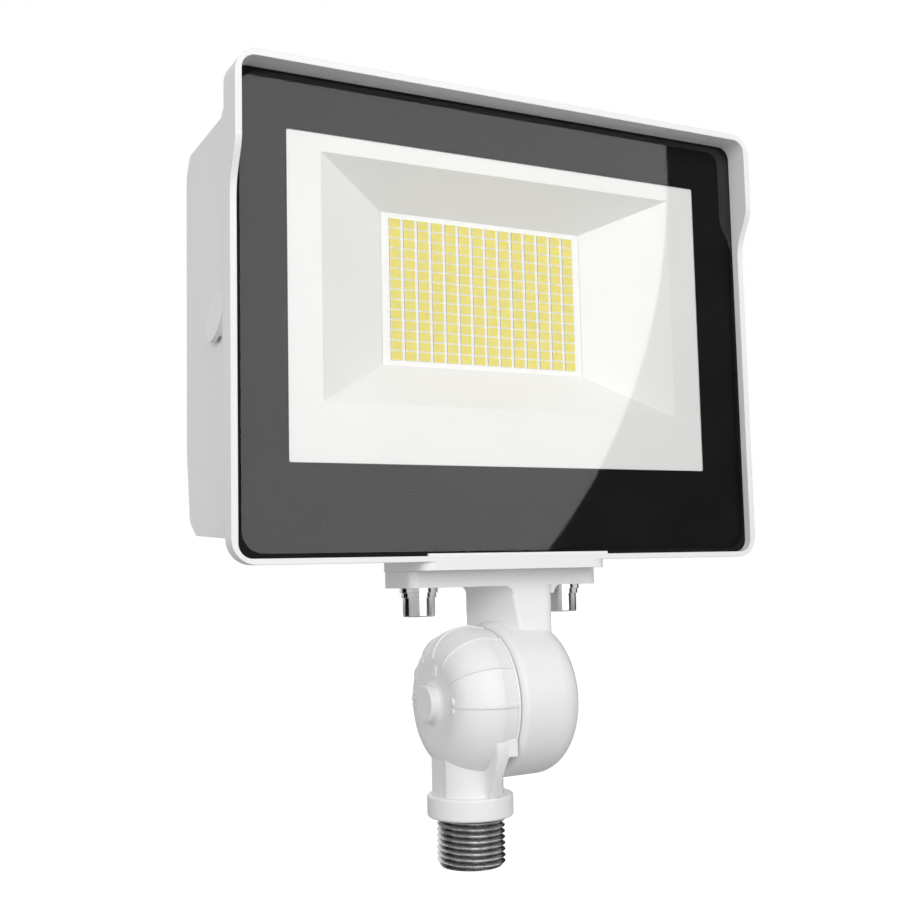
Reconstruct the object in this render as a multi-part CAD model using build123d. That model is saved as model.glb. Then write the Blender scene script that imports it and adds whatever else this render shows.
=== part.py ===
from build123d import *
import math
import os

# LED flood light on a threaded swivel, in millimetres.
# Origin: centre of the nipple's lower end. +Z up the stem, -Y is the way the light shines.

# Clearances
run_gap = 0.05            # radial, pin in its hole
part_gap = 0.3            # between the two halves of the swivel
slip_gap = 0.2            # round a piece that drops into a pocket
overrun = 1.0             # how far a cutter passes the face that it opens

# Threaded nipple, half-inch taper pipe thread
thread_radius = 10.67
thread_shown = 15.0
nipple_bore = 7.6
nipple_grip = 5.0
grip_radius = 10.4         # the part that sits in the collar

# Collar and stem of the lower casting
collar_radius = 13.5
collar_height = 6.8
collar_round = 0.8
stem_radius = 11.2
stem_offset = 0.75        # the stem stands this far to the flat side of the nipple's axis
stem_flat = 10.85         # from the nipple's axis to the stem's flat side
wireway_radius = 6.5

# Swivel
hinge_height = 50.15      # above the nipple's lower end
parting_x = 6.15          # face of the lower casting
ring_radius = 22.2        # both castings, where they meet
dome_radius = 23.2
dome_crown = 5.7          # length over which the dome stays nearly round
dome_depth = 18.4         # from the parting face to the dome's flat face
dome_face_radius = 12.7
rib_height = 0.4
rib_width = 0.9
rib_start_radius = 13.6
rib_step = 30.0           # degrees
rib_count = 7
ring_line_width = 1.0
ring_line_end = 118.0     # degrees each side of the top
boss_radius = 5.75
boss_height = 3.35
boss_round = 1.6
drum_radius = 24.45
drum_draft = 0.45         # the drum is this much smaller in radius at its outer end
drum_front_round = 2.0
drum_width = 23.1
drum_round = 8.5
cavity_radius = 15.6
dome_wall = 3.6
drum_wall = 3.6
hub_radius = 6.4
spigot_radius = 5.0
spigot_length = 4.0
post_radius = 7.6
gusset_side = -0.4        # x of the gusset's side towards the dome's face
gusset_thickness = 3.1
gusset_reach_low = 11.3   # how far its edge stands before the nipple's axis, at the collar
gusset_reach_middle = 15.9
gusset_reach_high = 18.5
gusset_rise_middle = 7.6
gusset_height = 14.6      # above the collar
tab_width = 7.4
tab_height = 5.0
tab_top = 10.3            # below the hinge
tab_reach = 20.4
tab_root = 14.0

# Seals between the two halves
friction_inner = 16.3
friction_outer = 18.5
friction_depth = 0.8
oring_radius = 20.2
oring_section = 1.8

# Pivot bolt, M6, and its washers
bolt_radius = 3.0
bolt_head_radius = 5.0
bolt_head_height = 6.0
bolt_grip = 29.5
hex_radius = 2.9
hex_depth = 3.0
flat_washer_radius = 6.0
flat_washer_thickness = 1.5
lock_washer_radius = 5.5
lock_washer_thickness = 1.5
lock_washer_slit = 0.9
bolt_clearance = 0.3

# Neck and flange plate of the upper casting
plate_width = 67.6
plate_depth = 21.0
plate_thickness = 5.2
plate_bottom = 35.8       # above the hinge
plate_corner = 3.0
head_offset = 9.55        # the head's middle plane, from the nipple's axis
neck_gap = 9.1            # from a flange screw's axis to the neck's outer side
neck_left_back = 3.75      # at its back edge, which stands upright
neck_left_top = -1.45     # at its front edge, which leans
neck_left_low = -5.35
neck_low = 16.9           # above the hinge
neck_side_round = 2.6
neck_edge_round = 3.0
neck_lean_round = 1.5
neck_root_round = 2.5     # under the plate, on the inner side
neck_clearance = 1.0      # round the lower casting's ring
neck_wall = 3.2
flange_screw_inset = 7.7  # from the plate's end to a screw's axis
flange_gasket_inner = 6.9
flange_gasket_outer = 9.2
flange_gasket_depth = 1.6
flange_screw_reach = 10.0
flange_way_radius = 5.0
flange_way_inset = 8.0    # from the neck's outer side to the wireway's axis

# Housing
pad_height = 10.6
pad_setback = 1.0         # the pad's half width is this much less than the plate's
pad_shift = 1.25          # its middle, from the head's middle plane towards the stem
pad_back = 10.6
pad_corner = 3.0
chin_corner = 4.3
pad_screw_depth = 12.0
housing_half_width = 88.0
housing_height = 128.05
housing_front_height = 10.0   # from the flange plate's top to the housing's underside, at its front
housing_rise = 2.5        # slope of the underside, front to back
housing_back = 41.2       # back of the fins, behind the stem's axis
housing_lower_back = 37.8
lower_back_rise = 7.0
taper_height = 28.9
top_back_drop = 8.0
housing_wall = 3.0
housing_round = 3.0
back_wall_face = 27.2     # inside face of the back wall
back_wall = 3.0
fin_thickness = 2.0
fin_pitch = 10.0
fin_count = 16
joint_face = -10.8        # plane where frame and housing meet
rim_flange = 3.0          # how far the joint flange stands out of the walls
rim_flange_depth = 3.4
cavity_cut = 27.3         # corner cut of the cavity
groove_width = 2.4
groove_depth = 2.0
groove_cut = 29.1
well_inset_x = 9.0
well_inset_z = 10.0
well_radius = 4.6
well_floor = 4.0
standoff_radius = 4.5
standoff_inset_x = 10.0   # from the mounting plate's edge
standoff_inset_z = 25.0

# Blister over the breather
blister_radius = 8.0
blister_proud = 2.6
blister_y = 6.5
blister_z = 3.5           # below the lens's middle
mouth_width = 8.0
mouth_depth = 1.0
mouth_height = 9.0
breather_drop = 3.0       # below the blister's middle, so that the blister covers it
breather_radius = 2.2
breather_flange = 3.4
breather_flange_thickness = 1.2

# Front frame with hood
lens_middle = 172.05      # height of the printed window's middle
frame_half_width = 92.6
frame_below = 78.3        # from the window's middle
frame_above = 67.8
frame_front = -20.1
frame_back = -13.8
frame_corner = 7.3
frame_wall = 2.0
pocket_corner = 4.3
frame_edge = 0.6
hood_front = -25.5
hood_square_end = 41.7    # above the window's middle
hood_curve_end = 25.0
hood_curve_pull = 8.5
hood_curve_lead = 5.5
hood_curve_shift = 0.8
ledge_face = -14.7
window_side_border = 17.6 # from the frame's outside to the printed window
window_top_border = 18.15
ledge_margin = 4.5
corner_gusset_face = -13.5
frame_boss_radius = 4.2
frame_boss_height = 6.0
sill_half_width = 32.0
sill_height = 0.8

# Frame screws, M4
screw_radius = 2.0
screw_head_radius = 3.6
screw_head_height = 3.0
screw_clearance = 0.3
boss_thread_depth = 7.4

# Glass and its bed
glass_thickness = 3.2
glass_seal_thickness = 0.5
glass_seal_width = 7.0
glass_gap = 1.4           # between the pane's edge and the frame, filled by the seal's upstand
glass_corner = 6.6
seal_recess = 1.0         # the upstand stops this far below the pane's front

# Reflector
reflector_side_gap = 11.55   # from the window's edge
reflector_end_gap = 12.2
reflector_rise = 6.3      # its middle above the window's middle
reflector_sheet = 1.2
tray_side_slope = 26.35   # from the tray's mouth in to the board
tray_end_slope = 12.85
tray_rise = 8.2
tray_lip = 0.8

# Board, chips, mounting plate
board_face = 0.8
board_side_margin = 11.9  # how far the board reaches behind the tray
board_end_margin = 6.4
board_thickness = 1.6
chip_columns = 14
chip_rows = 14
chip_side_margin = 4.73   # from the tray's inner edge to the outermost chips' middles
chip_end_margin = 3.215
chip_width_share = 0.84
chip_height_share = 0.835
chip_thickness = 0.7
pad_sheet = 0.5
sheet_thickness = 3.0
sheet_side_gap = 5.0      # from the cavity's wall
sheet_end_gap = 6.0
sheet_cut = 27.0
board_screw_inset_x = 4.0
board_screw_inset_z = 3.5
m3_radius = 1.5
m3_head_radius = 2.8
m3_head_height = 1.8
m3_length = 6.0

# Driver
driver_side_gap = 18.0    # from the standoffs' axes
driver_height = 58.0
driver_depth = 18.0
driver_wall = 1.5
driver_lid = 1.5
driver_corner = 4.0
driver_ear = 10.0
driver_ear_thickness = 2.5
driver_screw_length = 7.0

# Places worked out from the sizes above
collar_top = thread_shown + collar_height
drum_face = parting_x + part_gap
drum_end = drum_face + drum_width
dome_face = parting_x - dome_depth
boss_face = dome_face - boss_height
plate_low = hinge_height + plate_bottom
flange_spacing = plate_width - 2 * flange_screw_inset
neck_right = flange_spacing / 2 - neck_gap
pad_half_width = plate_width / 2 - pad_setback
plate_top = plate_low + plate_thickness
housing_bottom = plate_top + housing_front_height
housing_top = housing_bottom + housing_height
cavity_bottom = housing_bottom + housing_wall
cavity_top = housing_top - housing_wall
cavity_middle = (cavity_bottom + cavity_top) / 2
cavity_half_width = housing_half_width - housing_wall
cavity_half_height = (cavity_top - cavity_bottom) / 2
sheet_half_width = cavity_half_width - sheet_side_gap
sheet_half_height = cavity_half_height - sheet_end_gap
standoff_x = sheet_half_width - standoff_inset_x
standoff_z = sheet_half_height - standoff_inset_z
driver_width = 2 * (standoff_x - driver_side_gap)
frame_bottom = lens_middle - frame_below
frame_top = lens_middle + frame_above
pocket_half_width = frame_half_width - frame_wall
pocket_bottom = frame_bottom + frame_wall - frame_edge / 2
pocket_top = frame_top - frame_wall
pad_middle = head_offset - pad_shift
glass_back = ledge_face - glass_seal_thickness
window_half_width = frame_half_width - window_side_border
window_half_height = frame_above - window_top_border
reflector_half_width = window_half_width - reflector_side_gap
reflector_half_height = window_half_height - reflector_end_gap
tray_half_width = reflector_half_width - tray_side_slope
tray_half_height = reflector_half_height - tray_end_slope
board_half_width = tray_half_width + board_side_margin
board_half_height = tray_half_height + board_end_margin
board_screw_x = board_half_width - board_screw_inset_x
board_screw_z = board_half_height - board_screw_inset_z
chip_pitch_x = 2 * (tray_half_width - chip_side_margin) / (chip_columns - 1)
chip_pitch_z = 2 * (tray_half_height - chip_end_margin) / (chip_rows - 1)
chip_width = chip_pitch_x * chip_width_share
chip_height = chip_pitch_z * chip_height_share
glass_front = glass_back - glass_thickness
sheet_front = board_face + board_thickness + pad_sheet
sheet_back = sheet_front + sheet_thickness
tray_middle = lens_middle + tray_rise
well_x = housing_half_width - well_inset_x
well_z = (housing_top - housing_bottom) / 2 - well_inset_z
well_seat = joint_face + frame_boss_height + slip_gap + well_floor
way_x = head_offset + neck_right - flange_way_inset
recess_radius = flat_washer_radius + 2 * slip_gap
recess_depth = flat_washer_thickness + lock_washer_thickness + bolt_head_height + slip_gap
recess_floor = drum_end - recess_depth
bolt_tip = recess_floor - bolt_grip


def box(x0, x1, y0, y1, z0, z1):
    """Block between two corners."""
    size = (x1 - x0, y1 - y0, z1 - z0)
    return Pos((x0 + x1) / 2, (y0 + y1) / 2, (z0 + z1) / 2) * Box(*size)


def rod_x(radius, x0, x1, y=0, z=0):
    """Cylinder along X."""
    return Pos((x0 + x1) / 2, y, z) * Rot(0, 90, 0) * Cylinder(radius, x1 - x0)


def rod_y(radius, y0, y1, x=0, z=0):
    """Cylinder along Y."""
    return Pos(x, (y0 + y1) / 2, z) * Rot(90, 0, 0) * Cylinder(radius, y1 - y0)


def rod_z(radius, z0, z1, x=0, y=0):
    """Cylinder along Z."""
    return Pos(x, y, (z0 + z1) / 2) * Cylinder(radius, z1 - z0)


def plate_y(half_width, z0, z1, y0, y1, corner=0, cut=0):
    """Upright plate in the head, with rounded or cut corners, between two planes of Y."""
    sketch = Rectangle(2 * half_width, z1 - z0)
    if corner:
        sketch = fillet(sketch.vertices(), corner)
    if cut:
        sketch = chamfer(sketch.vertices(), cut)
    plane = Plane((head_offset, y1, (z0 + z1) / 2), x_dir=(1, 0, 0), z_dir=(0, -1, 0))
    return extrude(plane * sketch, y1 - y0)


def side_prism(points, x0, x1, rounds=()):
    """Extrude an outline drawn in (y, z) from x0 to x1; rounds lists (corner number, radius)."""
    sketch = make_face(Polyline(*[(0, y, z) for y, z in points], close=True))
    for number, radius in rounds:
        place = Vector(0, *points[number])
        corner = min(sketch.vertices(), key=lambda v: (v.center() - place).length)
        sketch = fillet_corner(sketch, corner, radius)
    return Pos(x0, 0, 0) * extrude(sketch, x1 - x0, dir=(1, 0, 0))


def fillet_corner(face, corner, radius):
    """Round one corner of a flat face."""
    return Face(face.faces()[0].wrapped).fillet_2d(radius, [corner])


def spin_x(points, arc=360.0, start=0.0):
    """Turn an outline of (x, radius) points about the hinge axis."""
    outline = Polyline(*[(x, 0, radius) for x, radius in points], close=True)
    solid = revolve(make_face(outline), Axis.X, arc)
    return Pos(0, 0, hinge_height) * Rot(start, 0, 0) * solid


def corners(half_x, half_z, middle_z):
    """Four places, mirrored about the head's middle plane."""
    signs = ((-1, -1), (1, -1), (-1, 1), (1, 1))
    return [(head_offset + a * half_x, middle_z + b * half_z) for a, b in signs]


def make_nipple():
    tube = rod_z(thread_radius, 0, thread_shown) + rod_z(grip_radius, 0, thread_shown + nipple_grip)
    return tube - rod_z(nipple_bore, -overrun, thread_shown + nipple_grip + overrun)


def dome_outline(extra=0.0, start_radius=0.0):
    """Half section of the dome as (x, radius) points on a rounded shoulder."""
    shoulder_x = parting_x - dome_crown
    length = shoulder_x - dome_face
    rise = dome_radius - dome_face_radius
    steps = 12
    points = [(parting_x, start_radius), (parting_x, ring_radius + extra)]
    for step in range(steps + 1):
        angle = math.pi / 2 * step / steps
        x = shoulder_x - (length + extra) * math.sin(angle)
        radius = dome_face_radius + (rise + extra) * math.cos(angle)
        if radius > start_radius:
            points.append((x, radius))
    points.append((points[-1][0], start_radius))
    return points


def dome_body():
    """Dome as one turned solid with a smooth section."""
    shoulder_x = parting_x - dome_crown
    length = shoulder_x - dome_face
    rise = dome_radius - dome_face_radius
    crown = Line((parting_x, 0, ring_radius), (shoulder_x, 0, dome_radius))
    arc = Plane.XZ * EllipticalCenterArc((shoulder_x, dome_face_radius), length, rise, start_angle=90,
                                         arc_size=90)
    root = boss_radius + boss_round
    soft = collar_round / 2
    face_line = Line((dome_face, 0, dome_face_radius), (dome_face, 0, root))
    bend = boss_round * (1 - math.sqrt(0.5))
    root_arc = ThreePointArc((dome_face, 0, root), (dome_face - bend, 0, boss_radius + bend),
                             (dome_face - boss_round, 0, boss_radius))
    side_line = Line((dome_face - boss_round, 0, boss_radius), (boss_face + soft, 0, boss_radius))
    edge_line = Line((boss_face + soft, 0, boss_radius), (boss_face, 0, boss_radius - soft))
    rest = Polyline((boss_face, 0, boss_radius - soft), (boss_face, 0, 0), (parting_x, 0, 0),
                    (parting_x, 0, ring_radius))
    outline = make_face([crown, arc, face_line, root_arc, side_line, edge_line, *rest.edges()])
    return Pos(0, 0, hinge_height) * revolve(outline, Axis.X, 360)


def dial_ribs():
    """Raised dial lines at even steps, from the boss out to the ring, and the line along the ring."""
    spread = math.degrees(rib_width / dome_radius)
    first = -rib_step * (rib_count - 1) / 2
    ribs = []
    outline = dome_outline(rib_height, rib_start_radius)
    for number in range(rib_count):
        mark = first + number * rib_step
        ribs.append(spin_x(outline, spread, mark - spread / 2))
    inner = ring_radius - rib_width
    line = [(parting_x, inner), (parting_x, ring_radius + rib_height),
            (parting_x - ring_line_width, ring_radius + rib_height), (parting_x - ring_line_width, inner)]
    for side in (rib_step, -ring_line_end):
        ribs.append(spin_x(line, ring_line_end - rib_step, side))
    return ribs


def gusset(side):
    """Rib under the dome, from the collar up to the tab; side is -1 at the front and 1 at the back."""
    low = collar_top - collar_round
    outline = [(0, low), (side * gusset_reach_low, low),
               (side * gusset_reach_middle, collar_top + gusset_rise_middle),
               (side * gusset_reach_high, collar_top + gusset_height),
               (side * gusset_reach_high, hinge_height - tab_top), (0, hinge_height - tab_top)]
    return side_prism(outline, gusset_side, gusset_side + gusset_thickness)


def tab(side):
    """Block at the end of the dial's line."""
    top = hinge_height - tab_top
    block = box(parting_x - tab_width, parting_x - part_gap, min(side * tab_root, side * tab_reach),
                max(side * tab_root, side * tab_reach), top - tab_height, top)
    outer = block.edges().filter_by(Axis.Y).group_by(Axis.X)[0]
    return fillet(outer, collar_round)


def tab_web(side):
    """Round under the tab, where it runs down into the gusset."""
    x0 = gusset_side + gusset_thickness
    x1 = parting_x - part_gap
    radius = x1 - x0
    z1 = hinge_height - tab_top - tab_height
    y0 = min(side * tab_root, side * gusset_reach_high)
    y1 = max(side * tab_root, side * gusset_reach_high)
    block = box(x0 - overrun, x1, y0, y1, z1 - radius, z1 + overrun)
    return block - rod_y(radius, y0 - overrun, y1 + overrun, x1, z1 - radius)


def make_stem_knuckle():
    collar = rod_z(collar_radius, thread_shown, collar_top)
    collar = fillet(collar.edges().group_by(Axis.Z)[0] + collar.edges().group_by(Axis.Z)[-1], collar_round)
    stem = rod_z(stem_radius, collar_top - collar_round, hinge_height, -stem_offset)
    stem -= box(-2 * stem_radius, -stem_flat, -stem_radius, stem_radius, 0, hinge_height)
    body = collar + stem + dome_body()
    for side in (-1, 1):
        body += gusset(side)
        body += tab(side)
        body += tab_web(side)
    for rib in dial_ribs():
        body += rib
    # Room for the drum
    body -= rod_x(drum_radius + part_gap, parting_x, drum_end + overrun, 0, hinge_height)
    # Hollow for the wires, with the threaded post in its middle
    hollow = rod_x(cavity_radius, dome_face + dome_wall, parting_x + overrun, 0, hinge_height)
    hollow -= rod_x(post_radius, dome_face, parting_x + 2 * overrun, 0, hinge_height)
    body -= hollow
    way = rod_z(wireway_radius, thread_shown, hinge_height - post_radius - overrun)
    body -= way
    body -= rod_z(grip_radius + run_gap, thread_shown - overrun, thread_shown + nipple_grip)
    body -= rod_x(spigot_radius + run_gap, parting_x - spigot_length - part_gap, parting_x + overrun, 0, hinge_height)
    body -= rod_x(bolt_radius + run_gap, bolt_tip - part_gap, parting_x + overrun, 0, hinge_height)
    # Seats of the friction ring and the seal
    body -= ring_x(friction_inner - slip_gap / 2, friction_outer + slip_gap / 2,
                   parting_x - friction_depth, parting_x + overrun)
    half = oring_section / 2
    body -= ring_x(oring_radius - half, oring_radius + half, parting_x - oring_section + part_gap,
                   parting_x + overrun)
    return body


def ring_x(inner, outer, x0, x1):
    """Flat ring about the hinge axis."""
    ring = rod_x(outer, x0, x1, 0, hinge_height)
    return ring - rod_x(inner, x0 - overrun, x1 + overrun, 0, hinge_height) if inner else ring


def make_friction_ring():
    return ring_x(friction_inner, friction_outer, parting_x - friction_depth, drum_face)


def make_swivel_oring():
    """Seal pressed flat on both faces."""
    half = oring_section / 2
    floor = parting_x - oring_section + part_gap
    ring = ring_x(oring_radius - half, oring_radius + half, floor, drum_face - run_gap)
    return chamfer(ring.edges(), half / 2)


def drum_body():
    """Drum as one turned solid with a big round on its outer end."""
    x1, x2 = drum_face, drum_end
    outline = Polyline((x1, 0, 0), (x1, 0, drum_radius), (x2, 0, drum_radius - drum_draft), (x2, 0, 0),
                       close=True)
    solid = Pos(0, 0, hinge_height) * revolve(make_face(outline), Axis.X, 360)
    rims = solid.edges().filter_by(GeomType.CIRCLE).group_by(Axis.X)
    solid = fillet(rims[-1], drum_round)
    return fillet(solid.edges().filter_by(GeomType.CIRCLE).group_by(Axis.X)[0], drum_front_round)


def neck_body():
    """Ruled neck: its inner side twists, upright at the back and leaning at the front."""
    half = plate_depth / 2
    right = head_offset + neck_right
    back = head_offset - neck_left_back
    low = hinge_height + neck_low
    top = [(back, half), (head_offset - neck_left_top, -half), (right, -half), (right, half)]
    bottom = [(back, half), (head_offset - neck_left_low, -half), (right, -half), (right, half)]
    upper = make_face(Polyline(*[(x, y, plate_low) for x, y in top], close=True))
    lower = make_face(Polyline(*[(x, y, low) for x, y in bottom], close=True))
    neck = loft([lower, upper], ruled=True)
    upright = [edge for edge in neck.edges() if edge.bounding_box().size.Z > neck_wall]
    by_place = ShapeList(upright).sort_by(Axis.X)
    neck = fillet(by_place[-2:], neck_edge_round)
    upright = [edge for edge in neck.edges() if edge.bounding_box().size.Z > neck_wall]
    leaning = [edge for edge in upright if edge.bounding_box().size.X > neck_wall]
    neck = fillet(leaning, neck_lean_round)
    return neck - ring_x(0, ring_radius + neck_clearance, 0, drum_face)


def neck_root():
    """Round under the plate on the neck's inner side, which leans more at the front than at the back."""
    r = neck_root_round
    soft = r * (1 - math.sqrt(0.5))
    half = plate_depth / 2
    lean = (neck_left_top - neck_left_low) / (plate_bottom - neck_low) * r
    ends = []
    for y, x, shift in ((-half, head_offset - neck_left_top, lean), (half, head_offset - neck_left_back, 0)):
        arc = ThreePointArc((x - r, y, plate_low), (x - soft + shift / 2, y, plate_low - soft),
                            (x + shift, y, plate_low - r))
        rest = Polyline((x + shift, y, plate_low - r), (x + 2 * r, y, plate_low - r),
                        (x + 2 * r, y, plate_low + overrun), (x - r, y, plate_low + overrun),
                        (x - r, y, plate_low))
        ends.append(make_face([arc, *rest.edges()]))
    return loft(ends, ruled=True)


def make_swivel_arm():
    plate = Pos(head_offset, 0, plate_low) * extrude(RectangleRounded(plate_width, plate_depth, plate_corner),
                                                     plate_thickness)
    arm = plate + neck_body() + neck_root() + drum_body() + side_web(head_offset + neck_right)
    # Hollow drum round the hub, open to the neck
    hollow = rod_x(cavity_radius, drum_face - overrun, drum_end - drum_wall, 0, hinge_height)
    hollow -= rod_x(recess_radius + neck_wall, recess_floor - drum_wall, drum_end, 0, hinge_height)
    hollow -= rod_x(hub_radius, drum_face - 2 * overrun, drum_end, 0, hinge_height)
    arm -= hollow
    arm += rod_x(spigot_radius, drum_face - part_gap - spigot_length, recess_floor, 0, hinge_height)
    arm -= rod_x(bolt_radius + bolt_clearance, parting_x - spigot_length - overrun, drum_end, 0, hinge_height)
    arm -= rod_x(recess_radius, recess_floor, drum_end + overrun, 0, hinge_height)
    arm -= rod_z(flange_way_radius, hinge_height + recess_radius + neck_wall, plate_top + overrun, way_x)
    arm -= rod_z(flange_gasket_outer, plate_top - flange_gasket_depth, plate_top + overrun, way_x)
    for x in flange_places():
        arm -= rod_z(bolt_radius + bolt_clearance, plate_low - overrun, plate_top + overrun, x)
    return arm


def side_web(corner_x):
    """Fillet under the flange, at the neck's outer side."""
    r = neck_side_round
    half = plate_depth / 2
    block = box(corner_x - overrun, corner_x + r, -half, half, plate_low - r, plate_low + overrun)
    bite = rod_y(r, -half - overrun, half + overrun, corner_x + r, plate_low - r)
    return block - bite


def flange_places():
    return [head_offset - flange_spacing / 2, head_offset + flange_spacing / 2]


def make_flange_gasket():
    seat = plate_top - flange_gasket_depth
    ring = rod_z(flange_gasket_outer - slip_gap / 2, seat, plate_top, way_x)
    return ring - rod_z(flange_gasket_inner, seat - overrun, plate_top + overrun, way_x)


def socket_screw(radius, head_radius, head_height, length):
    """Socket screw hanging from z = 0: its shank goes up, its head down."""
    head = rod_z(head_radius, -head_height, 0)
    head = fillet(head.edges().group_by(Axis.Z)[0], head_height / 15)
    key = extrude(Pos(0, 0, -head_height) * RegularPolygon(hex_radius, 6), hex_depth)
    shank = rod_z(radius, 0, length)
    shank = chamfer(shank.edges().group_by(Axis.Z)[-1], radius / 4)
    return head - key + shank


def flat_washer(radius, hole, thickness):
    return rod_z(radius, 0, thickness) - rod_z(hole, -overrun, thickness + overrun)


def lock_washer(radius, hole, thickness):
    """Split ring."""
    ring = flat_washer(radius, hole, thickness)
    slit = Rot(20, 0, 0) * box(0, radius + overrun, -lock_washer_slit / 2, lock_washer_slit / 2,
                               -2 * thickness, 3 * thickness)
    return ring - slit


def make_flange_screws():
    seat = plate_low - flat_washer_thickness - lock_washer_thickness
    reach = plate_top + flange_screw_reach - seat
    screw = socket_screw(bolt_radius, bolt_head_radius, bolt_head_height, reach)
    return [Pos(x, 0, seat) * screw for x in flange_places()]


def make_flange_flat_washers():
    washer = flat_washer(flat_washer_radius, bolt_radius + bolt_clearance, flat_washer_thickness)
    return [Pos(x, 0, plate_low - flat_washer_thickness) * washer for x in flange_places()]


def make_flange_lock_washers():
    washer = lock_washer(lock_washer_radius, bolt_radius + bolt_clearance, lock_washer_thickness)
    low = plate_low - flat_washer_thickness - lock_washer_thickness
    return [Pos(x, 0, low) * washer for x in flange_places()]


def make_pivot_flat_washer():
    washer = flat_washer(flat_washer_radius, bolt_radius + bolt_clearance, flat_washer_thickness)
    return Pos(recess_floor, 0, hinge_height) * Rot(0, 90, 0) * washer


def make_pivot_lock_washer():
    washer = lock_washer(lock_washer_radius, bolt_radius + bolt_clearance, lock_washer_thickness)
    return Pos(recess_floor + flat_washer_thickness, 0, hinge_height) * Rot(0, 90, 0) * washer


def make_pivot_bolt():
    seat = recess_floor + flat_washer_thickness + lock_washer_thickness
    bolt = socket_screw(bolt_radius, bolt_head_radius, bolt_head_height, seat - bolt_tip)
    return Pos(seat, 0, hinge_height) * Rot(0, -90, 0) * bolt


def housing_outline():
    """Side outline of the housing as (y, z), and its rounded corners."""
    points = [(joint_face, housing_bottom),
              (housing_lower_back - lower_back_rise, housing_bottom + housing_rise),
              (housing_lower_back, housing_bottom + lower_back_rise),
              (housing_back, housing_bottom + taper_height),
              (housing_back, housing_top - top_back_drop),
              (housing_back - top_back_drop / 2, housing_top - housing_round / 2),
              (joint_face, housing_top)]
    rounds = [(1, housing_round), (2, housing_round), (3, housing_round * 3), (4, housing_round),
              (5, housing_round)]
    return points, rounds


def make_housing():
    points, rounds = housing_outline()
    left = head_offset - housing_half_width
    right = head_offset + housing_half_width
    whole = side_prism(points, left, right, rounds)
    body = whole & box(left, right, joint_face, back_wall_face + back_wall, 0, frame_top)
    for x in fin_places():
        body += whole & box(x - fin_thickness / 2, x + fin_thickness / 2, 0, housing_back, 0, frame_top)
    for x0, x1 in ((left, left + housing_wall), (right - housing_wall, right)):
        body += whole & box(x0, x1, 0, housing_back, 0, frame_top)
    flange = plate_y(housing_half_width + rim_flange, housing_bottom - rim_flange, housing_top + rim_flange,
                     joint_face, joint_face + rim_flange_depth, frame_corner)
    body += flange
    body += mounting_pad()
    body += blister(left)
    body -= plate_y(cavity_half_width, cavity_bottom, cavity_top, joint_face - overrun, back_wall_face,
                    0, cavity_cut)
    for x, z in corners(standoff_x, standoff_z, cavity_middle):
        body += rod_y(standoff_radius, sheet_back, back_wall_face + back_wall / 2, x, z)
    body -= gasket_ring(groove_width, joint_face - overrun)
    for x, z in corners(well_x, well_z, cavity_middle):
        body -= rod_y(frame_boss_radius + slip_gap, joint_face - overrun,
                      joint_face + frame_boss_height + slip_gap, x, z)
        body -= rod_y(screw_radius + screw_clearance, joint_face, well_seat + overrun, x, z)
        body -= rod_y(well_radius, well_seat, housing_back + overrun, x, z)
    for x, z in corners(standoff_x, standoff_z, cavity_middle):
        body -= rod_y(m3_radius + run_gap, sheet_back - overrun, sheet_back + m3_length, x, z)
    for x, z in driver_screw_places():
        body -= rod_y(m3_radius + run_gap, back_wall_face - overrun,
                      back_wall_face + back_wall - housing_wall / 4, x, z)
    for x in flange_places():
        body -= rod_z(bolt_radius + run_gap, plate_top - overrun, plate_top + pad_screw_depth, x)
    body -= rod_z(flange_way_radius, plate_top - overrun, cavity_bottom + overrun, way_x)
    body -= rod_x(breather_radius + run_gap, left - mouth_depth, left + housing_wall + overrun,
                  blister_y, lens_middle - blister_z - breather_drop)
    body -= blister_mouth(left)
    return body


def fin_places():
    first = head_offset - fin_pitch * (fin_count - 1) / 2
    return [first + number * fin_pitch for number in range(fin_count)]


def mounting_pad():
    """Boss under the housing that the flange bolts to."""
    left = pad_middle - pad_half_width
    right = pad_middle + pad_half_width
    block = box(left, right, joint_face, pad_back, plate_top, plate_top + pad_height + housing_wall / 2)
    rear = block.edges().filter_by(Axis.Z).group_by(Axis.Y)[-1]
    return fillet(rear, pad_corner)


def blister(wall_x):
    """Round raised place on the side wall, flush at its top and proud at its bottom."""
    middle = lens_middle - blister_z
    disc = rod_x(blister_radius, wall_x - blister_proud, wall_x, blister_y, middle)
    top = middle + blister_radius
    low = middle - blister_radius
    wedge = [(wall_x, top), (wall_x, low), (wall_x - blister_proud, low)]
    face = make_face(Polyline(*[(x, blister_y, z) for x, z in wedge], close=True))
    prism = extrude(face, blister_radius + overrun, dir=(0, 1, 0), both=True)
    return disc & prism


def blister_mouth(wall_x):
    """Slot under the blister that opens downwards."""
    middle = lens_middle - blister_z
    low = middle - blister_radius - overrun
    half = mouth_width / 2
    return box(wall_x - mouth_depth, wall_x, blister_y - half, blister_y + half, low, low + mouth_height)


def gasket_ring(width, front):
    """Closed ring along the groove in the joint face."""
    half = width / 2
    line_x = housing_half_width
    line_low = housing_bottom
    line_top = housing_top
    cut = groove_cut
    shift = half * (2 - math.sqrt(2))
    outer = plate_y(line_x + half, line_low - half, line_top + half, front, joint_face + groove_depth,
                    0, cut + shift)
    inner = plate_y(line_x - half, line_low + half, line_top - half, front - overrun,
                    joint_face + groove_depth + overrun, 0, cut - shift)
    return outer - inner


def make_frame_gasket():
    return gasket_ring(groove_width - slip_gap, joint_face)


def make_breather_plug():
    left = head_offset - housing_half_width
    z = lens_middle - blister_z - breather_drop
    inner = left + housing_wall
    stem = rod_x(breather_radius, left + slip_gap, inner, blister_y, z)
    return stem + rod_x(breather_flange, inner, inner + breather_flange_thickness, blister_y, z)


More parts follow.
